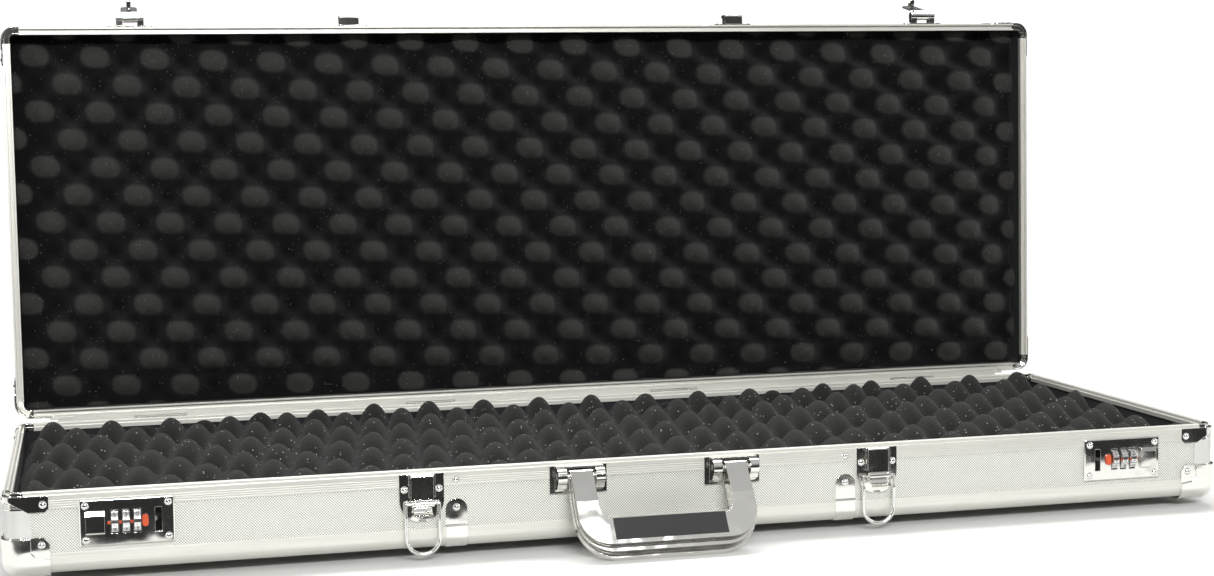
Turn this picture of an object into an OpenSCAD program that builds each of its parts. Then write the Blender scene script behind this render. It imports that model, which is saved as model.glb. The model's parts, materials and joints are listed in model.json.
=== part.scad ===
// Long aluminium-framed cue case, lid open on its rear hinges.
// Frame: +X along the case, +Y to the hinge side, +Z up, in millimetres.
// The origin is on the table, under the middle of the case.

/* [Case] */
// Outer length of the case
case_l = 1100; // [1040:10:1160]
// Outer depth of the case, front to back
case_d = 388; // [370:2:400]
// Height of the base shell, underside to parting line
base_h = 66; // [64:1:76]
// Height of the lid shell, parting line to outside
lid_h = 48; // [46:1:60]
// Height of the feet under the base
foot_h = 10; // [9:0.5:12]
// Angle that the lid stands open at, from closed
open_angle = 91; // [88:1:95]

/* [Frame profiles] */
// Radius of the case's corners and long edges
corner_r = 12; // [11:0.5:13]
// Height of the fluted band under the rim
band_h = 11.5; // [10:0.5:12]
// Width of the rim seen from above
rim_w = 7.2; // [6.8:0.1:8]
// Height of the tongue that keys the rims together
tongue_h = 3.5; // [2.5:0.1:3.8]
// Height of the smooth edge extrusion
edge_h = 18; // [16:0.5:18.5]

/* [Hardware places] */
// Distance of each lock's middle from the case's middle
lock_x = 452; // [440:1:456]
// Height of the locks' middle above the base's underside
lock_z = 41.5; // [41:0.5:42]
// Distance of each latch from the case's middle
latch_x = 207.3; // [205:0.1:220]
// Distance of each edge strap from the case's middle
strap_x = 177.4; // [170:0.1:178]
// Distance of each handle bracket from the case's middle
bracket_x = 70; // [66:1:76]
// Distance of the outer hinges from the case's middle
hinge_x_outer = 410; // [380:1:440]
// Distance of the inner hinges from the case's middle
hinge_x_inner = 133; // [110:1:160]

/* [Handle] */
// Lean of the handle from hanging, where it rests on the table
handle_lean = 36; // [36:0.5:38]
// Reach of the handle from its pivot to its outer edge
handle_reach = 78; // [76:0.5:78]
// Width of each handle arm
arm_w = 21; // [20:0.5:21.5]

/* [Foam] */
// Height of the base's foam above its underside
base_foam_h = 48; // [40:1:54]
// Height of the lid's foam above its outside
lid_foam_h = 31; // [26:1:36]

/* [Hidden] */
$fn = 48;
eps = 0.05;
half_l = case_l / 2;
half_d = case_d / 2;
skin = 0.8;              // how far the extrusions stand proud of the panels
panel_t = 4.6;           // thickness of the side panels
panel_in = skin + panel_t;
cover_s0 = 0.8;          // the cover panel's outer face
cover_s1 = 5;            // and its inner face
lining_t = 0.6;
foam_gap = 0.3;
part_gap = 1.2;          // gap between the two rims when closed
rim_t_base = 4;          // depth of the rim's block in the base
rim_t_lid = 6;           // and in the lid, which holds the groove
tongue_in = 2;           // the tongue's inset from the outer face
tongue_w = 3.4;
groove_in = 1.7;
groove_w = 4;
groove_h = 4.2;
cap_reach = 16;          // each rim corner's length along the sides
hinge_off = 6.7;         // the hinge axis stands this far behind the rear face
lid_top = foot_h + base_h + part_gap + lid_h;
hinge_y = half_d + hinge_off;
hinge_z = foot_h + base_h + part_gap / 2;
barrel_r = 3.4;
hinge_w = 50;
knuckle_w = 17.6;        // the lid's middle knuckle
leaf_t = 1.2;
leaf_h = 18;
hinge_places = [-hinge_x_outer, -hinge_x_inner, hinge_x_inner, hinge_x_outer];
rail_end = 40;           // the rails stop this far from the case's ends
bumper_x = 507;
dome_r = 3.3;            // rivet heads
dome_h = 1.9;
strap_tab = 43;          // heights of the straps' riveted ends
lid_strap_tab = 36;
lobe_t = 0.9;            // the ball corners' riveted lobes stand this far proud
handle_pivot_y = -9;     // from the front face
handle_pivot_z = 57.5;
handle_pin_r = 2.5;
handle_w = bracket_x + arm_w / 2 + 0.5;
bar_z = handle_reach - 30.5;  // the bar's inner edge, from the pivot
// The handle's layers from front to back: low and high y, loss of reach, loss of half width.
handle_layers = [
    [-9, -5.5, 8.5, 1.6], [-5.5, -4.5, 10.2, 2.6], [-4.5, 0.5, 3.5, 0.8], [0.5, 1.3, 5, 2], [1.3, 7, 0, 0]
];
grip_half = 50;
grip_h = 18;
grip_web = 3;            // half the thickness of the web that carries the grip
latch_pin_r = 1.1;
lever_pivot = [-3.6, 63.8];   // y from the front face, z above the base's underside
bail_axle = [-5.8, 41];
bail_half = 14.5;
bail_wire = 1.75;
bail_neck = 1.15;        // the thin top of each leg
bail_leg = 29;
dial_r = 10;
dial_w = 5.4;
dial_y = 3.6;
dial_places = [-10, -0.9, 8.2];
slot_x = 25.2;           // the hasp slot, from the lock's middle
hasp_axis = [-9, 6];     // y from the front face, height above the lid's rim
hasp_fold = 168;         // how far the flap is folded back from closed
hasp_x = lock_x - slot_x;

// ---- placing ----

// The base shell's own frame: z runs from its outside to its rim.
module in_base() {
    translate([0, 0, foot_h]) children();
}

// Closed-lid coordinates, turned open about the hinge axis.
module opened() {
    translate([0, hinge_y, hinge_z])
        rotate([-open_angle, 0, 0]) translate([0, -hinge_y, -hinge_z]) children();
}

// The lid shell's own frame: z runs from its outside to its rim.
module in_lid() {
    opened() translate([0, 0, lid_top]) mirror([0, 0, 1]) children();
}

// The front face's frame: y is 0 on the face and negative outwards, z from the base's underside.
module on_front(x) {
    translate([x, -half_d, foot_h]) children();
}

// The lid's front face when closed: z is height above the lid's rim.
module on_lid_front(x) {
    opened() translate([x, -half_d, foot_h + base_h + part_gap]) children();
}

// One lock, its slot towards the case's middle. side is -1 on the left, 1 on the right.
module lock_at(side) {
    on_front(side * lock_x) translate([0, 0, lock_z]) mirror([side > 0 ? 1 : 0, 0, 0]) children();
}

// Draws children on both sides of the case's middle.
module left_and_right() {
    children();
    mirror([1, 0, 0]) children();
}

// Draws a front-left corner, whose corner point is the origin, at all four corners.
module four_corners() {
    for (mx = [0, 1], my = [0, 1])
        mirror([mx, 0, 0]) mirror([0, my, 0]) translate([-half_l, -half_d, 0]) children();
}

// Extrudes an inset-and-height section along a front or rear side.
module along_x(length) {
    rotate([90, 0, 90]) linear_extrude(length, center = true) children();
}

// Extrudes an inset-and-height section along an end.
module along_y(length) {
    rotate([90, 0, 0]) linear_extrude(length, center = true) children();
}

// Runs one section round the case as four straight lengths that stop short of the corners.
module four_lengths(short) {
    for (m = [0, 1]) mirror([0, m, 0]) translate([0, -half_d, 0]) along_x(case_l - 2 * short) children();
    for (m = [0, 1]) mirror([m, 0, 0]) translate([-half_l, 0, 0]) along_y(case_d - 2 * short) children();
}

// ---- shared shapes ----

// The case's plan, inset from its outer faces.
module plan(inset) {
    l = case_l - 2 * inset;
    d = case_d - 2 * inset;
    r = corner_r - inset;
    square([l - 2 * r, d], center = true);
    square([l, d - 2 * r], center = true);
    for (sx = [-1, 1], sy = [-1, 1]) translate([sx * (l / 2 - r), sy * (d / 2 - r)]) circle(r);
}

// One corner of the plan, reaching along both sides.
module corner_plan(inset, reach) {
    r = corner_r - inset;
    translate([corner_r, corner_r]) intersection() {
        circle(r);
        translate([-r - 1, -r - 1]) square(r + 1);
    }
    if (reach > corner_r) {
        translate([corner_r, inset]) square([reach - corner_r, reach - inset]);
        translate([inset, corner_r]) square([reach - inset, reach - corner_r]);
    }
}

// An upright shell round one corner, between two insets.
module corner_shell(outer, inner, reach, z0, z1) {
    translate([0, 0, z0]) linear_extrude(z1 - z0) difference() {
        corner_plan(outer, reach);
        corner_plan(inner, reach + 1);
    }
}

// A solid corner, rounded along its three edges and proud of the case's faces.
module rounded_block(proud, reach) {
    r = corner_r + proud;
    translate([corner_r, corner_r, corner_r]) {
        sphere(r);
        cylinder(h = reach, r = r);
        rotate([0, 90, 0]) cylinder(h = reach, r = r);
        rotate([-90, 0, 0]) cylinder(h = reach, r = r);
    }
    translate([corner_r, corner_r, -proud]) cube([reach, reach, reach]);
    translate([corner_r, -proud, corner_r]) cube([reach, reach, reach]);
    translate([-proud, corner_r, corner_r]) cube([reach, reach, reach]);
}

// A flat outline on the front and the end face of a corner, as two prisms.
module both_faces(depth) {
    translate([0, depth, 0]) rotate([90, 0, 0]) linear_extrude(depth + 5) children();
    mirror([1, -1, 0]) translate([0, depth, 0]) rotate([90, 0, 0]) linear_extrude(depth + 5) children();
}

// A square with one rounded corner at the origin.
module rounded_quad(size, r) {
    translate([r, r]) circle(r);
    translate([r, 0]) square([size - r, size]);
    translate([0, r]) square([size, size - r]);
}

// A rivet's domed head, standing on the plane y = 0 and pointing to -y.
module dome() {
    ball_r = (dome_r * dome_r + dome_h * dome_h) / (2 * dome_h);
    rotate([90, 0, 0]) rotate_extrude() intersection() {
        translate([0, dome_h - ball_r]) circle(ball_r);
        square([dome_r, dome_h + 1]);
    }
}

// A rod along X, centred.
module rod(length, r) {
    rotate([0, 90, 0]) cylinder(h = length, r = r, center = true);
}

// A box given by its low and high corners.
module span(low, high) {
    translate(low) cube(high - low);
}

// An outline of y and z, extruded along X and centred.
module yz_plate(width) {
    rotate([90, 0, 90]) linear_extrude(width, center = true) children();
}

// ---- shells, used by the base and the lid alike ----

// Side panels of a shell whose rim is at height h, with the rim's block taking depth off the top.
module long_panel(h, depth) {
    x = half_l - corner_r;
    span([-x, -half_d + skin, corner_r], [x, -half_d + panel_in, h - depth]);
}

module end_panels(h, depth) {
    y = half_d - corner_r;
    left_and_right() span([-half_l + skin, -y, corner_r], [-half_l + panel_in, y, h - depth]);
}

module cover_panel() {
    x = half_l - corner_r;
    y = half_d - corner_r;
    span([-x, -y, cover_s0], [x, y, cover_s1]);
}

// The rim's section: a fluted band, a flat rim, and a tongue or a groove.
module rim_section(h, depth, male) {
    difference() {
        union() {
            translate([0, h - band_h]) square([skin, band_h]);
            translate([0, h - depth]) square([rim_w, depth]);
        }
        for (k = [0:3]) translate([-eps, h - band_h + 1.6 + k * 1.9]) square([0.35, 0.7]);
        if (!male) translate([groove_in, h - groove_h]) square([groove_w, groove_h + eps]);
    }
    if (male) {
        translate([tongue_in, h])
            polygon([
                [0, -eps], [tongue_w, -eps], [tongue_w, tongue_h - 0.8], [tongue_w - 0.8, tongue_h],
                [0.8, tongue_h], [0, tongue_h - 0.8]
            ]);
    }
}

// A rim corner: the section turned through the corner, with riveted side flaps over the band.
module rim_corner(h, depth, male) {
    translate([corner_r, corner_r, 0]) rotate([0, 0, 180]) rotate_extrude(angle = 90)
        translate([corner_r, 0]) mirror([1, 0]) rim_section(h, depth, male);
    translate([(corner_r + cap_reach) / 2, 0, 0]) along_x(cap_reach - corner_r) rim_section(h, depth, male);
    translate([0, (corner_r + cap_reach) / 2, 0]) along_y(cap_reach - corner_r) rim_section(h, depth, male);
    intersection() {
        corner_shell(-skin, 0, 36, h - 14, h);
        both_faces(40)
            polygon([
                [-2, h], [36, h], [36, h - 10.7], [33, h - 13.7], [20, h - 13.7], [1, h - 2.5], [-2, h - 2.5]
            ]);
    }
}

// The edge extrusion's section: a round corner with a thin leg over each panel.
module edge_section() {
    wall = 2;
    difference() {
        rounded_quad(edge_h, corner_r);
        translate([wall, wall]) rounded_quad(edge_h * 2, corner_r - wall);
        translate([skin, corner_r]) square(edge_h * 2);
        translate([corner_r, cover_s0]) square(edge_h * 2);
    }
}

// A corner post: a core behind the panels' ends and a skin over them.
module corner_post(h, depth) {
    translate([corner_r, corner_r, corner_r]) rotate([0, 0, 180]) rotate_extrude(angle = 90)
        translate([corner_r - panel_in, 0]) square([panel_t, h - depth - corner_r]);
    corner_shell(0, skin, 22, edge_h, h - band_h);
}

// A ball corner: a thin riveted lobe and a bulging body.
module ball_corner(top) {
    difference() {
        union() {
            intersection() {
                rounded_block(lobe_t, 40);
                both_faces(18) polygon([[-5, -5], [36, -5], [36, top - 6], [31, top], [-5, top]]);
            }
            intersection() {
                rounded_block(2.6, 40);
                both_faces(18) polygon([
                    [-5, -5], [36, -5], [36, 14], [24, 16], [21, 19], [21, top - 1], [-5, top - 1]
                ]);
            }
        }
        rounded_block(0, 60);
    }
}

// A strap that holds the edge extrusion, standing on the front face. tab is its riveted end's height.
module edge_strap(tab) {
    half_w = 9.5;
    intersection() {
        union() {
            yz_plate(2 * half_w) difference() {
                translate([-1, -1]) rounded_quad(29, corner_r + 1);
                rounded_quad(60, corner_r);
                translate([-5, edge_h + 0.5]) square(40);
            }
            yz_plate(2 * half_w) polygon([
                [-1, edge_h], [0, edge_h], [0, edge_h + 0.3], [skin, edge_h + 2],
                [skin, tab], [-0.2, tab], [-0.2, edge_h + 2.6], [-1, edge_h + 1]
            ]);
        }
        union() {
            span([-half_w, -3, -3], [half_w, 30, tab - half_w]);
            translate([0, 5, tab - half_w]) rotate([90, 0, 0]) cylinder(h = 10, r = half_w);
        }
    }
}

module straps(tab) {
    left_and_right() translate([-strap_x, -half_d, 0]) edge_strap(tab);
}

// The lining tray, with room cut for what stands through the front wall.
module lining(h, depth) {
    translate([0, 0, cover_s1]) linear_extrude(h - depth - cover_s1) difference() {
        plan(panel_in);
        plan(panel_in + lining_t);
    }
    translate([0, 0, cover_s1]) linear_extrude(lining_t) plan(panel_in + eps);
}

module foam_block(top) {
    z0 = cover_s1 + lining_t + foam_gap;
    translate([0, 0, z0]) linear_extrude(top - z0) plan(panel_in + lining_t + foam_gap);
}

// Room for a lock's housing through the front wall.
module lock_room(margin) {
    left_and_right() translate([-lock_x, -half_d, lock_z])
        span([-34 - margin, -eps, -13.4 - margin], [31 + margin, 15 + margin, 13.4 + margin]);
}

// Rivets along one shell: two on each rim corner, two on each ball corner, one on each strap.
module shell_rivets(h, top, tab) {
    four_corners() both_rivets(31.5, h - 7, skin);
    four_corners() both_rivets(29.5, top - 6.5, lobe_t);
    left_and_right() translate([-strap_x, -half_d - 0.2, tab - 7.5]) dome();
    left_and_right() translate([-strap_x, -half_d, h - 6.5]) dome();
}

// A rivet on the front and on the end face of a corner, over metal that stands proud.
module both_rivets(reach, z, proud) {
    translate([reach, -proud, z]) dome();
    mirror([1, -1, 0]) translate([reach, -proud, z]) dome();
}

// A rail along the hinge side, let in for the hinges' barrels. low and high are its heights.
module hinge_rail(low, high) {
    difference() {
        span([-half_l + rail_end, half_d, low], [half_l - rail_end, hinge_y, high]);
        for (x = hinge_places)
            span([x - hinge_w / 2 - 1, hinge_y - barrel_r - 0.5, hinge_z - barrel_r - 0.5],
                 [x + hinge_w / 2 + 1, hinge_y + 1, hinge_z + barrel_r + 0.5]);
    }
}

// ---- base ----

module base_front_panel() {
    color("lightgray") in_base() difference() {
        long_panel(base_h, rim_t_base);
        lock_room(0.6);
    }
}

module base_rear_panel() {
    color("lightgray") in_base() mirror([0, 1, 0]) long_panel(base_h, rim_t_base);
}

module base_end_panels() {
    color("lightgray") in_base() end_panels(base_h, rim_t_base);
}

module base_bottom_panel() {
    color("lightgray") in_base() cover_panel();
}

module base_rim_extrusions() {
    color("silver") in_base() four_lengths(cap_reach) rim_section(base_h, rim_t_base, true);
}

module base_rim_corners() {
    color("gainsboro") in_base() four_corners() rim_corner(base_h, rim_t_base, true);
}

module base_edge_extrusions() {
    color("silver") in_base() four_lengths(edge_h + 0.5) edge_section();
}

module base_corner_posts() {
    color("silver") in_base() four_corners() corner_post(base_h, rim_t_base);
}

module base_ball_corners() {
    color("gainsboro") in_base() four_corners() ball_corner(32);
}

module base_edge_straps() {
    color("gainsboro") in_base() straps(strap_tab);
}

module base_hinge_rail() {
    color("silver") hinge_rail(foot_h + base_h - 12, foot_h + base_h);
}

module base_lining() {
    color("dimgray") in_base() difference() {
        lining(base_h, rim_t_base);
        lock_room(0.6);
    }
}

module base_foam() {
    color([0.2, 0.2, 0.2]) in_base() difference() {
        foam_block(base_foam_h);
        lock_room(0.9);
    }
}

module base_rivets() {
    color("gainsboro") {
        in_base() shell_rivets(base_h, 32, strap_tab);
        for (side = [-1, 1]) {
            lock_at(side) for (x = [-33.3, 33.3], z = [-14.3, 14.3]) translate([x, -1.6, z]) dome();
            on_front(side * latch_x) {
                for (x = [-14.9, 14.9]) translate([x, -1.2, 53]) dome();
                translate([0, -1.2, 29.5]) scale(0.45) dome();
            }
        }
        for (x = hinge_places, dx = [-16, 16])
            translate([x + dx, hinge_y + leaf_t, hinge_z - 12]) mirror([0, 1, 0]) dome();
    }
}

module rubber_feet() {
    color([0.15, 0.15, 0.15]) for (x = [-470, 470], y = [-125, 150])
        translate([x, y, 0]) difference() {
            cylinder(h = foot_h, r1 = 12.5, r2 = 14);
            translate([0, 0, -eps]) cylinder(h = 5, r = 4.5);
        }
}

// Base leaf: a plate with two outer knuckles round the pin.
module hinge_base_leaves() {
    outer_w = (hinge_w - knuckle_w) / 2 - 0.4;
    color("gainsboro") for (x = hinge_places) translate([x, hinge_y, hinge_z]) difference() {
        union() {
            span([-hinge_w / 2, 0, -leaf_h], [hinge_w / 2, leaf_t, -barrel_r - 0.6]);
            for (s = [-1, 1]) translate([s * (hinge_w - outer_w) / 2, 0, 0]) {
                rod(outer_w, barrel_r);
                span([-outer_w / 2, 0, -barrel_r - 1], [outer_w / 2, leaf_t, 0]);
            }
        }
        rod(hinge_w + 2, 1.5);
    }
}

module hinge_pins() {
    color("silver") for (x = hinge_places) translate([x, hinge_y, hinge_z]) rod(hinge_w, 1.5);
}

// ---- handle ----

// One bracket: a plate with two cheeks, a roof over the arm's root and a bore for the pin.
module handle_brackets() {
    cheek_w = 8;
    cheek_x = 16.9;
    color("gainsboro") left_and_right() on_front(-bracket_x) difference() {
        union() {
            span([-25.5, -1.5, 41.5], [25.5, 0, base_h]);
            span([-12.5, -9, 64.6], [12.5, -1.4, base_h]);
            for (x = [-cheek_x, cheek_x]) translate([x, 0, 0]) {
                translate([0, handle_pivot_y, handle_pivot_z]) rod(cheek_w, 7.5);
                span([-cheek_w / 2, handle_pivot_y, 50], [cheek_w / 2, -1.4, base_h]);
                yz_plate(cheek_w) polygon([[-1.4, 43.5], [-1.4, 55], [-14, 53], [-11, 47.5]]);
            }
        }
        translate([0, handle_pivot_y, handle_pivot_z]) rod(60, handle_pin_r);
    }
}

module handle_pins() {
    color("silver") left_and_right() on_front(-bracket_x)
        translate([0, handle_pivot_y, handle_pivot_z]) rod(42, handle_pin_r);
}

// The handle's own frame: the pivot is the origin, and the arms run to -z.
module in_handle() {
    on_front(0) translate([0, handle_pivot_y, handle_pivot_z]) rotate([-handle_lean, 0, 0]) children();
}

// A shape with a flat top on the pivot line and round lower corners.
module round_bottom(half_w, depth, r) {
    translate([-half_w, -depth + r]) square([2 * half_w, depth - r]);
    translate([-half_w + r, -depth]) square([2 * (half_w - r), depth]);
    for (s = [-1, 1]) translate([s * (half_w - r), -depth + r]) circle(r);
}

// One layer of the handle, between two thicknesses, drawn in at the bottom and at the sides.
module handle_layer(t0, t1, low, side) {
    translate([0, t1, 0]) rotate([90, 0, 0]) linear_extrude(t1 - t0) difference() {
        round_bottom(handle_w - side, handle_reach - low, 36 - low);
        translate([0, 1]) round_bottom(handle_w - arm_w, bar_z + 1, 14);
    }
}

// The layers taper towards the pivot, and the grip's recess leaves a web along the bar.
module handle_frame() {
    color("gainsboro") in_handle() difference() {
        union() {
            intersection() {
                for (layer = handle_layers) handle_layer(layer[0], layer[1], layer[2], layer[3]);
                yz_plate(2 * handle_w) polygon([[-6, 0], [-9, -28], [-9, -90], [7, -90], [7, -22], [6, 0]]);
            }
            for (s = [-1, 1]) translate([s * bracket_x, 0, 0]) rod(arm_w - 1, 6);
        }
        rod(300, handle_pin_r + 0.06);
        difference() {
            span([-grip_half, -10, -bar_z - grip_h], [grip_half, 10, -bar_z + 3]);
            span([-grip_half - 1, -grip_web, -bar_z - 30], [grip_half + 1, grip_web, -bar_z + 5]);
        }
    }
}

// The grip wraps the bar's inner edge and fills its recess on both faces.
module handle_grip() {
    color([0.1, 0.1, 0.1]) in_handle() difference() {
        span([-grip_half, -9.6, -bar_z - grip_h], [grip_half, 7.6, -bar_z + 1.6]);
        span([-grip_half - 1, -grip_web, -bar_z - 20], [grip_half + 1, grip_web, -bar_z + 0.7]);
    }
}

// ---- latches ----

// A shield-shaped plate, notched at the bottom, with two walls that hold the lever's pin.
module latch_plates() {
    color("gainsboro") left_and_right() on_front(-latch_x) difference() {
        union() {
            span([-19.3, -1.2, 43.5], [19.3, 0, base_h]);
            translate([0, 0, 43.5]) rotate([90, 0, 0]) cylinder(h = 1.2, r = 19.3);
            for (x = [-10.6, 10.6]) span([x - 0.6, -5.3, 46], [x + 0.6, -1, base_h]);
        }
        translate([0, lever_pivot[0], lever_pivot[1]]) rod(40, latch_pin_r);
        span([-3.2, -2, 20], [3.2, 1, 26.6]);
    }
}

module latch_pins() {
    color("silver") left_and_right() on_front(-latch_x)
        translate([0, lever_pivot[0], lever_pivot[1]]) rod(22.4, latch_pin_r);
}

// A lever: a plate from its pivot's barrel to the bail's barrel, with a curled finger tongue.
module latch_lever() {
    lever_w = 19.4;
    tongue = 16;
    difference() {
        union() {
            translate([0, lever_pivot[0], lever_pivot[1]]) rod(lever_w, 2);
            translate([0, bail_axle[0], bail_axle[1]]) rod(lever_w, 2.9);
            span([-lever_w / 2, -5.6, 42], [lever_w / 2, -4.4, lever_pivot[1]]);
            translate([0, -13.4, 40.5]) rotate([0, 90, 0]) intersection() {
                difference() {
                    cylinder(h = tongue, r = 9.8, center = true);
                    cylinder(h = tongue + 2, r = 8.6, center = true);
                }
                span([0, 2, -tongue], [12, 12, tongue]);
            }
        }
        translate([0, lever_pivot[0], lever_pivot[1]]) rod(lever_w + 2, latch_pin_r + 0.06);
        translate([0, bail_axle[0], bail_axle[1]]) rod(lever_w + 2, latch_pin_r + 0.06);
    }
}

// A bail: one closed wire loop with thin necks, whose top bar is its axle.
module latch_bail() {
    neck = 9;
    taper = 2.5;
    translate([0, bail_axle[0], bail_axle[1]]) {
        rod(2 * bail_half, latch_pin_r);
        for (x = [-bail_half, bail_half]) translate([x, 0, 0]) {
            sphere(bail_neck);
            translate([0, 0, -neck]) cylinder(h = neck, r = bail_neck);
            translate([0, 0, -neck - taper]) cylinder(h = taper, r1 = bail_wire, r2 = bail_neck);
            translate([0, 0, -bail_leg]) cylinder(h = bail_leg - neck - taper, r = bail_wire);
        }
        translate([0, 0, -bail_leg]) rotate([-90, 0, 0]) rotate_extrude(angle = 180)
            translate([bail_half, 0]) circle(bail_wire);
    }
}

module latch_lever_left() {
    color("gainsboro") on_front(-latch_x) latch_lever();
}

module latch_lever_right() {
    color("gainsboro") on_front(latch_x) latch_lever();
}

module latch_bail_left() {
    color("silver") on_front(-latch_x) latch_bail();
}

module latch_bail_right() {
    color("silver") on_front(latch_x) latch_bail();
}

// ---- locks ----

// The lock plate's section across one way, chamfered at its outer edges.
module chamfered(half) {
    polygon([[0, -half], [-0.6, -half], [-1.6, 1.2 - half], [-1.6, half - 1.2], [-0.6, half], [0, half]]);
}

module lock_plates() {
    color("gainsboro") for (side = [-1, 1]) lock_at(side) difference() {
        intersection() {
            yz_plate(77) chamfered(19.6);
            translate([0, 0, -20]) linear_extrude(40) mirror([1, -1, 0]) chamfered(38.5);
        }
        span([-33.2, -2, -4.4], [-22.6, 1, 4.4]);
        for (x = dial_places) span([x - 3.1, -2, -9.7], [x + 3.1, 1, 9.7]);
        span([13.2, -2, -3.3], [16, 1, 5.4]);
        span([slot_x - 2.7, -2, -10], [slot_x + 2.7, 1, 10]);
    }
}

// Housing behind each plate, with bays for the button, dials, bolt, reset lever and hasp.
module lock_housings() {
    color("dimgray") for (side = [-1, 1]) lock_at(side) difference() {
        span([-34, 0, -13.4], [31, 15, 12.9]);
        span([-33.2, -1, -12.9], [-20, 7.2, 6]);
        span([-14, -1, -10.6], [12, 14.4, 10.6]);
        span([-33.2, 4.2, -12.9], [24, 7, -10.6]);
        span([15.8, 1.6, -12.9], [24, 7, 3.4]);
        span([12.2, -1, -4], [17, 1.6, 8]);
        span([21.6, -1, -10.4], [30.2, 12.5, 10.4]);
        translate([-0.5, dial_y, 0]) rod(29, 1.5);
    }
}

module lock_dial_shafts() {
    color("silver") for (side = [-1, 1]) lock_at(side) translate([-0.5, dial_y, 0]) rod(29, 1.5);
}

module lock_index_marks() {
    color("orangered") for (side = [-1, 1]) lock_at(side) for (x = [-14.6, -5.45, 3.65])
        translate([x, -1.6, -0.6]) rotate([90, 0, 0]) cylinder(h = 0.5, r = 1.4);
}

// A number dial: ten flats parted by shallow grooves.
module lock_dial(side, place) {
    color("silver") lock_at(side) translate([dial_places[place], dial_y, 0]) difference() {
        rod(dial_w, dial_r);
        rod(dial_w + 1, 1.56);
        for (k = [0:9]) rotate([k * 36 + 18, 0, 0]) translate([0, dial_r + 0.3, 0]) rod(dial_w + 1, 0.9);
    }
}

module lock_dial_left_1() {
    lock_dial(-1, 0);
}

module lock_dial_left_2() {
    lock_dial(-1, 1);
}

module lock_dial_left_3() {
    lock_dial(-1, 2);
}

module lock_dial_right_1() {
    lock_dial(1, 0);
}

module lock_dial_right_2() {
    lock_dial(1, 1);
}

module lock_dial_right_3() {
    lock_dial(1, 2);
}

// The sliding button: a chamfered cap over the plate and a stem through it.
module lock_button() {
    translate([-25.7, 0, 0]) {
        span([-7.65, -3.4, -9.6], [7.65, -1.8, 9.6]);
        yz_plate(15.3) polygon([[-3.4, -9.6], [-4.8, -8.2], [-4.8, 6], [-3.4, 9.6]]);
        span([-2.8, -2, -4], [2.7, 4.6, 4]);
    }
}

module lock_button_left() {
    color("gainsboro") lock_at(-1) lock_button();
}

module lock_button_right() {
    color("gainsboro") lock_at(1) lock_button();
}

// The bolt: a bar from the button's stem to a round nose in the hasp slot.
module lock_bolt() {
    span([-28.5, 4.6, -12.6], [-23, 6.6, 4]);
    span([-24, 4.6, -12.6], [22.1, 6.6, -11]);
    span([20.4, 2.2, -12.6], [22.1, 6.6, 0]);
    translate([22.4, 4, 0]) rotate([90, 0, 0]) cylinder(h = 2, r = 2);
}

module lock_bolt_left() {
    color("silver") lock_at(-1) lock_bolt();
}

module lock_bolt_right() {
    color("silver") lock_at(1) lock_bolt();
}

// The reset lever: a round-ended tab with a stem through the plate.
module lock_reset_lever() {
    translate([14.6, 0, 0]) {
        span([-2.5, -3.3, -2.6], [2.5, -1.8, 2.4]);
        for (z = [-2.6, 2.4]) translate([0, -1.8, z]) rotate([90, 0, 0]) cylinder(h = 1.5, r = 2.5);
        span([-1.2, -2, -3], [1.2, 1.2, 3]);
    }
}

module lock_reset_lever_left() {
    color("orangered") lock_at(-1) lock_reset_lever();
}

module lock_reset_lever_right() {
    color("orangered") lock_at(1) lock_reset_lever();
}

// ---- lid ----

module lid_front_panel() {
    color("lightgray") in_lid() long_panel(lid_h, rim_t_lid);
}

module lid_rear_panel() {
    color("lightgray") in_lid() mirror([0, 1, 0]) long_panel(lid_h, rim_t_lid);
}

module lid_end_panels() {
    color("lightgray") in_lid() end_panels(lid_h, rim_t_lid);
}

module lid_top_panel() {
    color("lightgray") in_lid() cover_panel();
}

module lid_rim_extrusions() {
    color("silver") in_lid() four_lengths(cap_reach) rim_section(lid_h, rim_t_lid, false);
}

module lid_rim_corners() {
    color("gainsboro") in_lid() four_corners() rim_corner(lid_h, rim_t_lid, false);
}

module lid_edge_extrusions() {
    color("silver") in_lid() four_lengths(edge_h + 0.5) edge_section();
}

module lid_corner_posts() {
    color("silver") in_lid() four_corners() corner_post(lid_h, rim_t_lid);
}

module lid_ball_corners() {
    color("gainsboro") in_lid() four_corners() ball_corner(30);
}

module lid_hinge_rail() {
    color("silver") opened() {
        hinge_rail(lid_top - lid_h, lid_top - lid_h + 12);
        for (x = [-bumper_x, bumper_x])
            span([x - 11, half_d + 0.5, lid_top - lid_h - 0.3], [x + 11, half_d + 3, lid_top - lid_h]);
    }
}

module lid_lining() {
    color("dimgray") in_lid() lining(lid_h, rim_t_lid);
}

module lid_foam() {
    color([0.15, 0.15, 0.15]) in_lid() foam_block(lid_foam_h);
}

module lid_rivets() {
    color("gainsboro") {
        in_lid() shell_rivets(lid_h, 30, lid_strap_tab);
        opened() for (x = hinge_places, dx = [-16, 16])
            translate([x + dx, hinge_y + leaf_t, hinge_z + 12]) mirror([0, 1, 0]) dome();
        for (side = [-1, 1]) {
            on_lid_front(side * latch_x) for (x = [-14.5, 14.5]) translate([x, -1.2, 7.5]) dome();
            on_lid_front(side * hasp_x) for (x = [-17, 17]) translate([x, -1.2, 6]) dome();
        }
    }
}

// Lid leaf: a plate with one middle knuckle round the pin.
module hinge_lid_leaves() {
    color("gainsboro") opened() for (x = hinge_places) translate([x, hinge_y, hinge_z]) difference() {
        union() {
            span([-hinge_w / 2, 0, barrel_r + 0.6], [hinge_w / 2, leaf_t, leaf_h]);
            rod(knuckle_w, barrel_r);
            span([-knuckle_w / 2, 0, 0], [knuckle_w / 2, leaf_t, barrel_r + 1]);
        }
        rod(hinge_w + 2, 1.56);
    }
}

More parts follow.
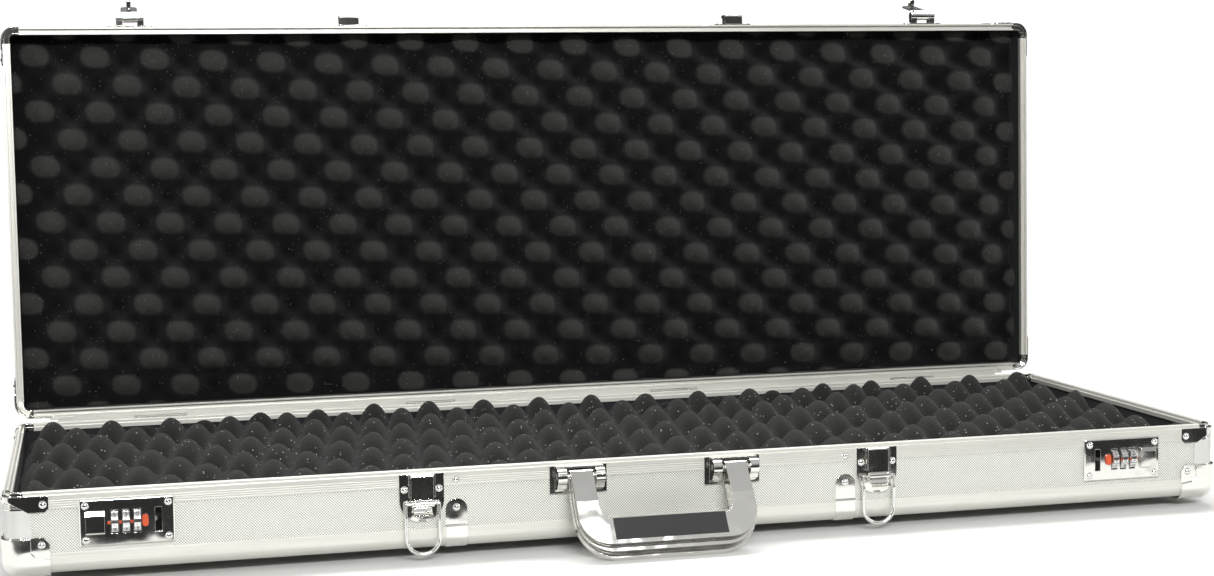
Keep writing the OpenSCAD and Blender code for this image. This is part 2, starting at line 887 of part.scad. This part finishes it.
// Straps, latch catches and hasp plates, all riveted to the lid.
module lid_hardware() {
    color("gainsboro") {
        in_lid() straps(lid_strap_tab);
        for (side = [-1, 1]) {
            on_lid_front(side * latch_x) latch_catch();
            on_lid_front(side * hasp_x) hasp_plate();
        }
    }
}

// A catch: a riveted plate and a hooked block for the bail.
module latch_catch() {
    span([-18.8, -1.2, 2.5], [18.8, 0, 12.3]);
    span([-9.8, -9.6, 2.8], [9.8, -1, 12.3]);
    yz_plate(19.6) polygon([[-10.8, 4], [-8, 2.8], [-7.6, 12.2], [-7.6, 15.6], [-9.4, 16], [-10.8, 14]]);
}

// A hasp plate: a round-ended plate with two knuckles and the hasp's pin.
module hasp_plate() {
    span([-17, -1.2, 1.5], [17, 0, 10.5]);
    for (x = [-17, 17]) translate([x, 0, 6]) rotate([90, 0, 0]) cylinder(h = 1.2, r = 4.5);
    for (x = [-10.4, 10.4]) translate([x, 0, 0]) {
        translate([0, hasp_axis[0], hasp_axis[1]]) rod(6.2, 4.4);
        span([-3.1, hasp_axis[0], hasp_axis[1] - 3.8], [3.1, -1, hasp_axis[1] + 3.8]);
    }
    translate([0, hasp_axis[0], hasp_axis[1]]) rod(24, 1.5);
}

// The hasp's flap in its closed place, with its staple pointing into the lock.
module hasp_flap_closed() {
    slot_z = lock_z - base_h - part_gap;
    difference() {
        union() {
            translate([0, hasp_axis[0], hasp_axis[1]]) rod(14, 4.4);
            yz_plate(14) polygon([
                [-9, 1.8], [-5.6, 3.4], [-3.8, 0], [-3.8, -12], [-5.3, -12], [-5.3, -1.5], [-7, 1]
            ]);
            span([-8, -5.3, slot_z - 4], [8, -3.8, -6]);
            translate([0, -3.8, slot_z - 4]) rotate([90, 0, 0]) cylinder(h = 1.5, r = 8);
            span([-2, -4.3, slot_z - 3.6], [2, 3.2, slot_z + 3.6]);
            translate([0, 3.2, slot_z]) rod(4, 3.6);
        }
        translate([0, 3, slot_z]) rod(10, 2.5);
        translate([0, hasp_axis[0], hasp_axis[1]]) rod(20, 1.56);
    }
}

// The flap folded back on the open lid.
module hasp_flap(side) {
    color("gainsboro") on_lid_front(side * hasp_x)
        translate([0, hasp_axis[0], hasp_axis[1]]) rotate([-hasp_fold, 0, 0])
        translate([0, -hasp_axis[0], -hasp_axis[1]]) hasp_flap_closed();
}

module hasp_flap_left() {
    hasp_flap(-1);
}

module hasp_flap_right() {
    hasp_flap(1);
}

base_front_panel();
base_rear_panel();
base_end_panels();
base_bottom_panel();
base_rim_extrusions();
base_rim_corners();
base_edge_extrusions();
base_corner_posts();
base_ball_corners();
base_edge_straps();
base_hinge_rail();
base_lining();
base_foam();
base_rivets();
rubber_feet();
hinge_base_leaves();
hinge_pins();
handle_brackets();
handle_pins();
handle_frame();
handle_grip();
latch_plates();
latch_pins();
latch_lever_left();
latch_lever_right();
latch_bail_left();
latch_bail_right();
lock_plates();
lock_housings();
lock_dial_shafts();
lock_index_marks();
lock_dial_left_1();
lock_dial_left_2();
lock_dial_left_3();
lock_dial_right_1();
lock_dial_right_2();
lock_dial_right_3();
lock_button_left();
lock_button_right();
lock_bolt_left();
lock_bolt_right();
lock_reset_lever_left();
lock_reset_lever_right();
lid_front_panel();
lid_rear_panel();
lid_end_panels();
lid_top_panel();
lid_rim_extrusions();
lid_rim_corners();
lid_edge_extrusions();
lid_corner_posts();
lid_ball_corners();
lid_hinge_rail();
lid_lining();
lid_foam();
lid_rivets();
hinge_lid_leaves();
lid_hardware();
hasp_flap_left();
hasp_flap_right();
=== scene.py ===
"""Open cue case: materials, egg-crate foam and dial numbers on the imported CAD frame.

Metres, in the CAD's frame: +X along the case, +Y towards the hinges, +Z up, table at z = 0.
"""

import json
import math

import bpy
import numpy as np
from mathutils import Matrix, Vector


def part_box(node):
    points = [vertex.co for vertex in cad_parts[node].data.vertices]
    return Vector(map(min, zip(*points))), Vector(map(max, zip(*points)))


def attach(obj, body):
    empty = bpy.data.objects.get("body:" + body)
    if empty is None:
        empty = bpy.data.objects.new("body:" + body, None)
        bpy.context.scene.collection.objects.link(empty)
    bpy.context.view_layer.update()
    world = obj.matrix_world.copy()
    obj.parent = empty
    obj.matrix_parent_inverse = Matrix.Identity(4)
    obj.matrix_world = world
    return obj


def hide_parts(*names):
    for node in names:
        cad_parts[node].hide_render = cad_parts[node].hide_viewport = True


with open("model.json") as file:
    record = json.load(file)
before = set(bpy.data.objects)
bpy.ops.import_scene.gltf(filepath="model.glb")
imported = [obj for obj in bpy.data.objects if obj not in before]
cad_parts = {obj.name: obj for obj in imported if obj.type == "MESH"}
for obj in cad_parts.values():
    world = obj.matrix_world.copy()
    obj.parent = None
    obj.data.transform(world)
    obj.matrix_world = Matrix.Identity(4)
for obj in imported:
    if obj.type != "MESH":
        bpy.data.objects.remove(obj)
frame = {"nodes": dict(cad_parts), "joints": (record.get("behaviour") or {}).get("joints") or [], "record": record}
nodes = frame["nodes"]
joints = {j["name"]: j for j in frame["joints"]}
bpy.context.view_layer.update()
scene = bpy.context.scene

# ---- camera ----

CAMERA_AT = (-0.4746, -1.8845, 0.3852)
YAW, PITCH, ROLL = 0.2508, 0.0893, -0.0140  # radians: right of +Y, below the horizon, about the view
FOCAL_WIDTHS = 2024.1 / 1214  # focal length over picture width
SENSOR_MM = 36.0


def make_camera():
    """Points the camera as the photograph was taken."""
    ahead = Vector((math.sin(YAW) * math.cos(PITCH), math.cos(YAW) * math.cos(PITCH), -math.sin(PITCH)))
    right = Vector((math.cos(YAW), -math.sin(YAW), 0.0))
    up = right.cross(ahead)
    right, up = (
        math.cos(ROLL) * right + math.sin(ROLL) * up,
        math.cos(ROLL) * up - math.sin(ROLL) * right,
    )
    data = bpy.data.cameras.new("camera")
    data.sensor_fit = "HORIZONTAL"
    data.sensor_width = SENSOR_MM
    data.lens = SENSOR_MM * FOCAL_WIDTHS
    data.clip_start = 0.05
    data.clip_end = 60.0
    camera = bpy.data.objects.new("camera", data)
    camera.matrix_world = Matrix((right, up, -ahead)).transposed().to_4x4()
    camera.location = CAMERA_AT
    scene.collection.objects.link(camera)
    scene.camera = camera


# ---- node materials ----


class Shader:
    """A node material, built step by step. Its texture space is the row frame, in metres."""

    def __init__(self, name, color, roughness, metallic=0.0):
        self.material = bpy.data.materials.new(name)
        self.material.use_nodes = True
        self.tree = self.material.node_tree
        self.tree.nodes.clear()
        self.output = self.add("ShaderNodeOutputMaterial")
        self.body = self.add("ShaderNodeBsdfPrincipled")
        self.link(self.body, "BSDF", self.output, "Surface")
        self.body.inputs["Base Color"].default_value = (*color, 1.0)
        self.body.inputs["Roughness"].default_value = roughness
        self.body.inputs["Metallic"].default_value = metallic
        self.place = self.add("ShaderNodeTexCoord").outputs["Object"]
        self.material.diffuse_color = (*color, 1.0)

    def add(self, kind, **settings):
        node = self.tree.nodes.new(kind)
        for key, value in settings.items():
            setattr(node, key, value)
        return node

    def link(self, source, out, target, into):
        self.tree.links.new(source.outputs[out], target.inputs[into])

    def set(self, **values):
        """Sets the main shader's sockets, named with _ for a space."""
        for key, value in values.items():
            self.body.inputs[key.replace("_", " ")].default_value = value

    def stretched(self, scale):
        """Texture coordinates multiplied by scale along X, Y and Z."""
        mapping = self.add("ShaderNodeMapping")
        mapping.inputs["Scale"].default_value = scale
        self.tree.links.new(self.place, mapping.inputs["Vector"])
        return mapping.outputs["Vector"]

    def noise(self, scale, detail=3.0, stretch=(1, 1, 1), rough=0.55):
        """A noise value from 0 to 1. scale is in waves a metre."""
        node = self.add("ShaderNodeTexNoise")
        node.inputs["Scale"].default_value = scale
        node.inputs["Detail"].default_value = detail
        node.inputs["Roughness"].default_value = rough
        self.tree.links.new(self.stretched(stretch), node.inputs["Vector"])
        return node.outputs["Fac"]

    def math(self, operation, a, b=0.0):
        """a and b are numbers or sockets."""
        node = self.add("ShaderNodeMath", operation=operation)
        for socket, value in zip(node.inputs, (a, b)):
            if isinstance(value, (int, float)):
                socket.default_value = value
            else:
                self.tree.links.new(value, socket)
        return node.outputs[0]

    def ramp(self, value, low, high, to_low=0.0, to_high=1.0):
        """Maps value from low..high to to_low..to_high, clamped."""
        node = self.add("ShaderNodeMapRange")
        numbers = {"From Min": low, "From Max": high, "To Min": to_low, "To Max": to_high}
        for socket, number in numbers.items():
            node.inputs[socket].default_value = number
        self.tree.links.new(value, node.inputs["Value"])
        return node.outputs["Result"]

    def color_between(self, value, low, high):
        """Base colour from low, where value is 0, to high, where it is 1."""
        node = self.add("ShaderNodeMix", data_type="RGBA")
        node.inputs[6].default_value = (*low, 1.0)
        node.inputs[7].default_value = (*high, 1.0)
        self.tree.links.new(value, node.inputs[0])
        self.tree.links.new(node.outputs[2], self.body.inputs["Base Color"])

    def roughness(self, value):
        self.tree.links.new(value, self.body.inputs["Roughness"])

    def relief(self, height, distance, strength=1.0, edge=0.0):
        """Bumps the surface by height times distance. edge rounds sharp edges to that radius in the light."""
        bump = self.add("ShaderNodeBump")
        bump.inputs["Distance"].default_value = distance
        bump.inputs["Strength"].default_value = strength
        self.tree.links.new(height, bump.inputs["Height"])
        if edge:
            bevel = self.add("ShaderNodeBevel", samples=4)
            bevel.inputs["Radius"].default_value = edge
            self.link(bevel, "Normal", bump, "Normal")
        self.link(bump, "Normal", self.body, "Normal")
        return self


PANEL_PITCH = 0.0024  # of the embossed grid


def panel_material():
    """Silver sheet embossed with a fine grid of dots, painted dark in the dents and light on the crowns as shade.
    """
    made = Shader("panel", (0.72, 0.72, 0.68), 0.42, 0.3)
    split = made.add("ShaderNodeSeparateXYZ")
    made.tree.links.new(made.place, split.inputs[0])
    turns = 2 * math.pi / PANEL_PITCH
    wave = [made.math("COSINE", made.math("MULTIPLY", split.outputs[i], turns)) for i in range(3)]
    facing = made.add("ShaderNodeSeparateXYZ")
    geometry = made.add("ShaderNodeNewGeometry")
    made.tree.links.new(geometry.outputs["True Normal"], facing.inputs[0])
    across = [made.math("ABSOLUTE", facing.outputs[i]) for i in range(3)]
    # On each face the two waves that lie in it cross; the third is flattened to 1.
    flat = [made.math("MAXIMUM", made.math("SUBTRACT", 1.0, across[i]), 0.0) for i in range(3)]
    held = [made.math("ADD", made.math("MULTIPLY", wave[i], flat[i]), across[i]) for i in range(3)]
    grid = made.math("MULTIPLY", made.math("MULTIPLY", held[0], held[1]), held[2])
    grey = made.ramp(grid, -0.45, 0.45)
    cloud = made.noise(9.0, 3.0)
    # Painted shade and light of the emboss: the colour follows the grid's height, dark in the dents, light on the
    # crowns.
    made.color_between(grey, (0.30, 0.30, 0.27), (0.84, 0.84, 0.79))
    made.roughness(made.ramp(cloud, 0.2, 0.8, 0.36, 0.50))
    return made.relief(grid, 0.0003, 0.9).material


def frame_material():
    """Satin anodised extrusion, with fine drawing lines."""
    made = Shader("frame", (0.72, 0.71, 0.66), 0.38, 0.6)
    lines = made.noise(900.0, 2.0, (0.012, 1, 1))
    broad = made.noise(5.0, 3.0)
    made.color_between(lines, (0.62, 0.61, 0.56), (0.80, 0.79, 0.74))
    made.roughness(made.ramp(broad, 0.25, 0.75, 0.34, 0.46))
    return made.relief(lines, 0.00005, 0.5, edge=0.0005).material


def post_material():
    """Matt anodised corner posts."""
    made = Shader("posts", (0.66, 0.66, 0.64), 0.48, 0.55)
    grain = made.noise(2600.0, 2.0)
    broad = made.noise(14.0, 3.0)
    made.color_between(broad, (0.62, 0.62, 0.60), (0.72, 0.72, 0.69))
    made.roughness(made.ramp(grain, 0.2, 0.8, 0.42, 0.56))
    return made.relief(grain, 0.00002, 0.6, edge=0.0006).material


def chrome_material(name="hardware", color=(0.88, 0.87, 0.83), smooth=0.06, edge=0.0006):
    """Bright plated metal, slightly uneven, with rounded edges and faint handling marks."""
    made = Shader(name, color, smooth, 1.0)
    smear = made.noise(60.0, 4.0)
    wobble = made.noise(45.0, 1.0)
    made.color_between(smear, tuple(c * 0.93 for c in color), color)
    made.roughness(made.ramp(smear, 0.35, 0.75, smooth, smooth + 0.09))
    return made.relief(wobble, 0.0008, 0.7, edge=edge).material


def plastic_material(name, color, smooth, grain_scale=1800.0, spread=0.12):
    """Moulded plastic with a fine grain."""
    made = Shader(name, color, smooth)
    grain = made.noise(grain_scale, 2.0)
    broad = made.noise(22.0, 3.0)
    made.color_between(broad, tuple(c * 0.8 for c in color), tuple(min(1.0, c * 1.2) for c in color))
    made.roughness(made.ramp(grain, 0.2, 0.8, smooth - spread / 2, smooth + spread / 2))
    return made.relief(grain, 0.00004, 0.5, edge=0.0005).material


def foam_material(name, dark, light, speck, low, high):
    """Open-cell foam: fine pits, painted shade in the hollows, and a scatter of light specks.

    The colour goes from dark to light between two rises of the cones, low and high, from 0 to 1: painted
    shade in the hollows and painted light on the tops. speck is the strength of the specks.
    """
    made = Shader(name, light, 0.95)
    made.set(Specular_IOR_Level=0.15, Sheen_Weight=0.06, Sheen_Roughness=0.6)
    pits = made.noise(1500.0, 2.0, rough=0.7)
    cells = made.noise(420.0, 3.0, rough=0.65)
    rise = made.add("ShaderNodeAttribute", attribute_name="rise").outputs["Fac"]
    # Painted shade and light: dark in the hollows, light on the cone tops; the cells vary the tone at random.
    grey = made.math("MULTIPLY", made.ramp(rise, low, high), made.ramp(cells, 0.25, 0.75, 0.72, 1.0))
    made.color_between(grey, dark, light)
    body_color = made.body.inputs["Base Color"].links[0].from_socket
    dots = made.add("ShaderNodeTexVoronoi", feature="F1")
    dots.inputs["Scale"].default_value = 330.0
    made.tree.links.new(made.place, dots.inputs["Vector"])
    chance = made.add("ShaderNodeSeparateXYZ")
    made.tree.links.new(dots.outputs["Color"], chance.inputs[0])
    rare = made.math("GREATER_THAN", chance.outputs[0], 0.86)
    near = made.math("LESS_THAN", dots.outputs["Distance"], 0.22)
    bright = made.math("MULTIPLY", made.math("MULTIPLY", rare, near), speck)
    mix = made.add("ShaderNodeMix", data_type="RGBA")
    made.tree.links.new(bright, mix.inputs[0])
    made.tree.links.new(body_color, mix.inputs[6])
    mix.inputs[7].default_value = (0.62, 0.61, 0.58, 1.0)
    made.tree.links.new(mix.outputs[2], made.body.inputs["Base Color"])
    height = made.math("ADD", made.math("MULTIPLY", pits, 0.6), made.math("MULTIPLY", cells, 0.8))
    return made.relief(height, 0.0011, 1.0).material


def lining_material():
    """Flocked lining: black, with a soft nap."""
    made = Shader("lining", (0.02, 0.02, 0.022), 0.95)
    made.set(Specular_IOR_Level=0.1, Sheen_Weight=0.05, Sheen_Roughness=0.5)
    nap = made.noise(3000.0, 2.0)
    made.color_between(nap, (0.010, 0.010, 0.012), (0.035, 0.035, 0.038))
    return made.relief(nap, 0.0003, 0.8).material


MATERIALS = {
    "panel": panel_material(),
    "frame": frame_material(),
    "posts": post_material(),
    "hardware": chrome_material(),
    "rivets": chrome_material("rivets", (0.88, 0.88, 0.86), 0.06, 0.0003),
    "wire": chrome_material("wire", (0.84, 0.84, 0.82), 0.12, 0.0003),
    "pins": chrome_material("pins", (0.55, 0.55, 0.54), 0.28, 0.0002),
    "dials": chrome_material("dials", (0.80, 0.80, 0.79), 0.16, 0.0003),
    "lock_housing": plastic_material("lock_housing", (0.02, 0.02, 0.02), 0.55),
    "orange_plastic": plastic_material("orange_plastic", (0.52, 0.075, 0.025), 0.36),
    "grip": plastic_material("grip", (0.012, 0.012, 0.013), 0.38, 900.0, 0.16),
    "feet": plastic_material("feet", (0.02, 0.02, 0.02), 0.75),
    "lining": lining_material(),
    # The foams' dark and light colours are painted shade in the hollows and painted light on the cone tops.
    "base_foam": foam_material(
        "base_foam", (0.003, 0.003, 0.0028), (0.015, 0.0147, 0.013), speck=0.4, low=0.05, high=0.8
    ),
    "lid_foam": foam_material(
        "lid_foam", (0.0003, 0.0003, 0.0003), (0.035, 0.0342, 0.0315), speck=0.12, low=0.45, high=0.62
    ),
}


def dress_cad_nodes():
    """Gives every CAD node its record slot's detailed material."""
    for part in frame["record"]["subparts"]:
        target = nodes[part["node"]]
        target.data.materials.clear()
        target.data.materials.append(MATERIALS[part["material_slot"]])


# ---- shapes ----


def new_piece(name, vertices, faces, body, slot, smooth=True):
    """A mesh piece in the row frame, riding on a CAD body, in a record slot's material."""
    mesh = bpy.data.meshes.new(name)
    mesh.from_pydata([tuple(v) for v in vertices], [], [tuple(f) for f in faces])
    mesh.validate()
    mesh.materials.append(MATERIALS[slot])
    mesh.polygons.foreach_set("use_smooth", [smooth] * len(mesh.polygons))
    mesh.update()
    piece = bpy.data.objects.new(name, mesh)
    scene.collection.objects.link(piece)
    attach(piece, body)
    return piece


FOAM_STEP = 0.0034  # mesh spacing
LID_LINING_Z = 0.1193  # of the foam's back, in the closed lid
LID_FOAM_HALF_Y = 0.1877


def egg_crate(x, y, origin, along, across, flatten=0.0):
    """Rise from 0 to 1 of egg-crate foam: a cone at origin, at each lattice step and between every four.

    flatten narrows, along the second step, the painted light on the cones' tops.
    """
    dx, dy = x - origin[0], y - origin[1]
    area = along[0] * across[1] - along[1] * across[0]
    u = 2 * math.pi * (dx * across[1] - dy * across[0]) / area
    v = 2 * math.pi * (dy * along[0] - dx * along[1]) / area
    return (1 + np.cos(u) * np.cos(v)) / 2 - flatten * np.sin(v) ** 2


def foam_piece(name, body, node, size, center, shape, place):
    """A block of foam over a plain CAD node of that name, which is also its material slot.

    size and center are its plan. place(x, y, z) carries a point of it to the row frame. shape(x, y) gives
    the top's height and its rise from 0 to 1, from which the material paints shade in the hollows and light on the
    tops.
    """
    half = (size[0] / 2, size[1] / 2)
    xs = np.linspace(-half[0], half[0], int(size[0] / FOAM_STEP))
    ys = np.linspace(-half[1], half[1], int(size[1] / FOAM_STEP))
    grid_x, grid_y = np.meshgrid(xs + center[0], ys + center[1])
    top, rise = shape(grid_x, grid_y)
    rows, columns = top.shape
    count = rows * columns
    r, c = np.meshgrid(np.arange(rows - 1), np.arange(columns - 1), indexing="ij")
    corner = (r * columns + c).ravel()
    faces = np.stack([corner, corner + 1, corner + columns + 1, corner + columns], -1).tolist()
    # The outline of the grid, walked once round.
    rim = (
        [(0, k) for k in range(columns)]
        + [(k, columns - 1) for k in range(1, rows)]
        + [(rows - 1, k) for k in range(columns - 2, -1, -1)]
        + [(k, 0) for k in range(rows - 2, 0, -1)]
    )
    upper = [k * columns + m for k, m in rim]
    lower = list(range(count, count + len(rim)))
    for k in range(len(rim)):
        after = (k + 1) % len(rim)
        faces.append([upper[after], upper[k], lower[k], lower[after]])
    faces.append(lower[::-1])
    points = list(zip(grid_x.ravel(), grid_y.ravel(), top.ravel()))
    points += [(points[i][0], points[i][1], 0.0) for i in upper]
    piece = new_piece(name, [place(*p) for p in points], faces, body, node)
    # The rise drives the material's painted shade in the hollows and painted light on the tops.
    rises = piece.data.attributes.new("rise", "FLOAT", "POINT")
    values = np.concatenate([rise.ravel(), np.zeros(len(rim))])
    rises.data.foreach_set("value", values.astype(np.float32))
    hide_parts(node)


HINGE = Vector(joints["lid_hinge"]["pos_m"])
OPEN_ANGLE = math.radians(joints["lid_hinge"]["range_deg"][1])


def opened(point):
    """A point of the closed lid, carried to the open lid."""
    turn = Matrix.Rotation(-OPEN_ANGLE, 3, "X")
    return HINGE + turn @ (Vector(point) - HINGE)


def inside(x, y, low, high, width):
    """0 at the border of a plan from low to high, rising to 1 at width inside it."""
    near = np.minimum(np.minimum(x - low[0], high[0] - x), np.minimum(y - low[1], high[1] - y))
    return np.clip(near / width, 0, 1)


def make_base_foam():
    """The base's egg-crate foam. Its cones are a little lower at the front and flat at the border."""
    low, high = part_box("base_foam")

    def shape(x, y):
        wave = egg_crate(x, y, (0.0409, 0.0331), (0.0569, -0.0040), (0.0120, 0.0813))
        soft = 0.0007 * np.sin(x * 61 + y * 47) + 0.0006 * np.sin(x * 143 - y * 97 + 1.0)
        dome = wave**1.2 * (1.6 - 0.6 * wave) * inside(x, y, low, high, 0.016)
        lower = 0.0035 * np.clip(-y / 0.18, -1, 1)
        # wave, the second value, is the rise for the painted shade: darker hollows, lighter tops.
        return 0.050 + (0.0315 - lower) * dome + soft - low.z, wave

    foam_piece(
        "base_egg_crate_foam", "base", "base_foam",
        (high.x - low.x, high.y - low.y), (0, (high.y + low.y) / 2), shape,
        lambda x, y, z: (x, y, low.z + z),
    )


def make_lid_foam():
    """The lid's egg-crate foam, built in the closed lid and opened with it."""
    low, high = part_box("lid_foam")
    front, rear = [opened((0, s * LID_FOAM_HALF_Y, LID_LINING_Z)) for s in (-1, 1)]
    lattice = ((-0.5173, -0.1116), (0.0586, 0.0021), (0.0033, 0.0554))

    def shape(x, y):
        wave = egg_crate(x, y, *lattice)
        wave = wave * (0.45 + 0.55 * inside(x, y, (-0.53, -0.178), (0.53, 0.178), 0.03))
        soft = 0.0007 * np.sin(x * 57 - y * 41) + 0.0006 * np.sin(x * 131 + y * 103 + 2.0)
        # The second value is the rise for the painted light and shade, its lit tops drawn in by flatten.
        return 0.012 + 0.0300 * wave**1.2 + soft, egg_crate(x, y, *lattice, flatten=0.16)

    foam_piece(
        "lid_egg_crate_foam", "lid", "lid_foam",
        (high.x - low.x, abs(rear.z - front.z)), (0, 0), shape,
        lambda x, y, z: opened((x, y, LID_LINING_Z - z)),
    )


SHOWN_DIGITS = {"left": (7, 4, 1), "right": (3, 8, 6)}
INK_LIFT = 0.00004  # of the numbers, off the dial


def digit_mesh(digit):
    """The flat shape of a digit, in the XY plane."""
    curve = bpy.data.curves.new("digit", "FONT")
    curve.body = str(digit)
    curve.size = 0.0056
    curve.align_x = "CENTER"
    curve.align_y = "CENTER"
    curve.resolution_u = 3
    text = bpy.data.objects.new("digit", curve)
    scene.collection.objects.link(text)
    bpy.context.view_layer.update()
    mesh = bpy.data.meshes.new_from_object(text.evaluated_get(bpy.context.evaluated_depsgraph_get()))
    bpy.data.objects.remove(text)
    bpy.data.curves.remove(curve)
    return mesh


def make_dial_numbers():
    """Printed numbers, ten round each lock dial."""
    ink = plastic_material("dial_ink", (0.012, 0.012, 0.012), 0.5)
    for side in ("left", "right"):
        for place in (1, 2, 3):
            dial = f"lock_dial_{side}_{place}"
            center = Vector(joints[f"dial_{side}_{place}"]["pos_m"])
            low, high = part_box(dial)
            radius = (high.z - low.z) / 2 + INK_LIFT
            vertices, faces = [], []
            for k in range(10):
                mesh = digit_mesh((SHOWN_DIGITS[side][place - 1] + k) % 10)
                middle = sum((v.co.y for v in mesh.vertices), 0.0) / max(1, len(mesh.vertices))
                turn = Matrix.Rotation(math.radians(36 * k), 3, "X")
                start = len(vertices)
                for v in mesh.vertices:
                    angle = (v.co.y - middle) / radius
                    flat = Vector((v.co.x, -radius * math.cos(angle), radius * math.sin(angle)))
                    vertices.append(center + turn @ flat)
                faces += [[start + i for i in f.vertices] for f in mesh.polygons]
                bpy.data.meshes.remove(mesh)
            piece = new_piece(f"dial_numbers_{side}_{place}", vertices, faces, dial, "dials", smooth=False)
            piece.data.materials[0] = ink


# ---- studio ----


FLOOR_HALF = 4
# Chrome sees the floor behind this line and darkness in front of it: its y at the floor's left and right.
FLOOR_SPLIT = (0.00, -0.78)


def make_floor(name, material, low, high, glossy):
    """One part of the floor, from low to high, each a y at the left and right. glossy: is it reflected."""
    left, right = -FLOOR_HALF, FLOOR_HALF
    corners = [(left, low[0], 0), (right, low[1], 0), (right, high[1], 0), (left, high[0], 0)]
    mesh = bpy.data.meshes.new(name)
    mesh.from_pydata(corners, [], [(0, 1, 2, 3)])
    mesh.materials.append(material)
    floor = bpy.data.objects.new(name, mesh)
    floor.visible_glossy = glossy
    scene.collection.objects.link(floor)


def floor_material():
    """A pale matt floor that fades into the backdrop away from the case."""
    made = Shader("studio_floor", (0.5, 0.5, 0.5), 0.9)
    made.set(Specular_IOR_Level=0.1)
    made.color_between(made.noise(3.0), (0.60, 0.60, 0.59), (0.62, 0.62, 0.61))
    away = made.add("ShaderNodeVectorMath", operation="LENGTH")
    made.tree.links.new(made.place, away.inputs[0])
    fade = made.ramp(away.outputs["Value"], 0.9, 1.7)
    clear = made.add("ShaderNodeBsdfTransparent")
    blend = made.add("ShaderNodeMixShader")
    made.tree.links.new(fade, blend.inputs["Fac"])
    made.tree.links.new(made.body.outputs[0], blend.inputs[1])
    made.tree.links.new(clear.outputs[0], blend.inputs[2])
    made.tree.links.new(blend.outputs[0], made.output.inputs["Surface"])
    return made.material


def make_studio():
    """The floor, the room round it and the lamps."""
    material = floor_material()
    make_floor("floor", material, FLOOR_SPLIT, (FLOOR_HALF, FLOOR_HALF), True)
    make_floor("floor_front", material, (-FLOOR_HALF, -FLOOR_HALF), FLOOR_SPLIT, False)
    make_world()
    make_lamps()


def make_world():
    """A room that is dark below and paler above, and a white backdrop that only the camera sees."""
    world = bpy.data.worlds.new("studio")
    world.use_nodes = True
    scene.world = world
    tree = world.node_tree
    tree.nodes.clear()
    output = tree.nodes.new("ShaderNodeOutputWorld")
    seen = tree.nodes.new("ShaderNodeBackground")
    seen.inputs["Color"].default_value = (1, 1, 1, 1)
    seen.inputs["Strength"].default_value = 1.1
    room = tree.nodes.new("ShaderNodeBackground")
    room.inputs["Strength"].default_value = 1.0
    mix = tree.nodes.new("ShaderNodeMixShader")
    path = tree.nodes.new("ShaderNodeLightPath")
    coord = tree.nodes.new("ShaderNodeTexCoord")
    split = tree.nodes.new("ShaderNodeSeparateXYZ")
    ramp = tree.nodes.new("ShaderNodeValToRGB")
    # Brightness by height, from straight down at 0 to straight up at 1.
    stops = [
        (0.00, 0.03), (0.40, 0.03), (0.50, 0.03), (0.54, 0.05),
        (0.62, 0.14), (0.75, 0.42), (0.88, 0.62), (1.00, 0.45),
    ]
    while len(ramp.color_ramp.elements) < len(stops):
        ramp.color_ramp.elements.new(0.5)
    for element, (position, value) in zip(ramp.color_ramp.elements, stops):
        element.position = position
        element.color = (value, value, value, 1)
    scale = tree.nodes.new("ShaderNodeMapRange")
    scale.inputs["From Min"].default_value = -1.0
    scale.inputs["From Max"].default_value = 1.0
    link = tree.links.new
    link(coord.outputs["Generated"], split.inputs[0])
    link(split.outputs["Z"], scale.inputs["Value"])
    link(scale.outputs["Result"], ramp.inputs["Fac"])
    link(ramp.outputs["Color"], room.inputs["Color"])
    link(path.outputs["Is Camera Ray"], mix.inputs["Fac"])
    link(room.outputs[0], mix.inputs[1])
    link(seen.outputs[0], mix.inputs[2])
    link(mix.outputs[0], output.inputs["Surface"])


def make_lamps():
    """Rectangular lamps: name, place, point they face, size and watts."""
    lamps = [
        ("overhead", (0.0, 0.55, 2.4), (0, 0.2, 0.0), (3.0, 0.6), 85.0),
        ("front_fill", (-0.2, -3.0, 1.6), (0, 0, 0.1), (1.5, 0.24), 96.0),
        ("handle_card", (0.42, -1.44, 2.0), (0.42, -1.44, 0.0), (0.28, 0.22), 0.5),
        ("left_strip", (-2.6, -0.9, 0.9), (-0.2, 0, 0.1), (0.4, 1.6), 10.0),
        ("right_strip", (2.6, -1.2, 1.0), (0.2, 0, 0.1), (0.4, 1.6), 10.0),
    ]
    for name, at, look, size, power in lamps:
        light = bpy.data.lights.new(name, "AREA")
        light.shape = "RECTANGLE"
        light.size, light.size_y = size
        light.energy = power
        lamp = bpy.data.objects.new(name, light)
        lamp.location = at
        lamp.rotation_euler = (Vector(look) - Vector(at)).to_track_quat("-Z", "Y").to_euler()
        lamp.visible_camera = False
        scene.collection.objects.link(lamp)


make_camera()
dress_cad_nodes()
make_base_foam()
make_lid_foam()
make_dial_numbers()
make_studio()
scene.view_settings.view_transform = "Standard"
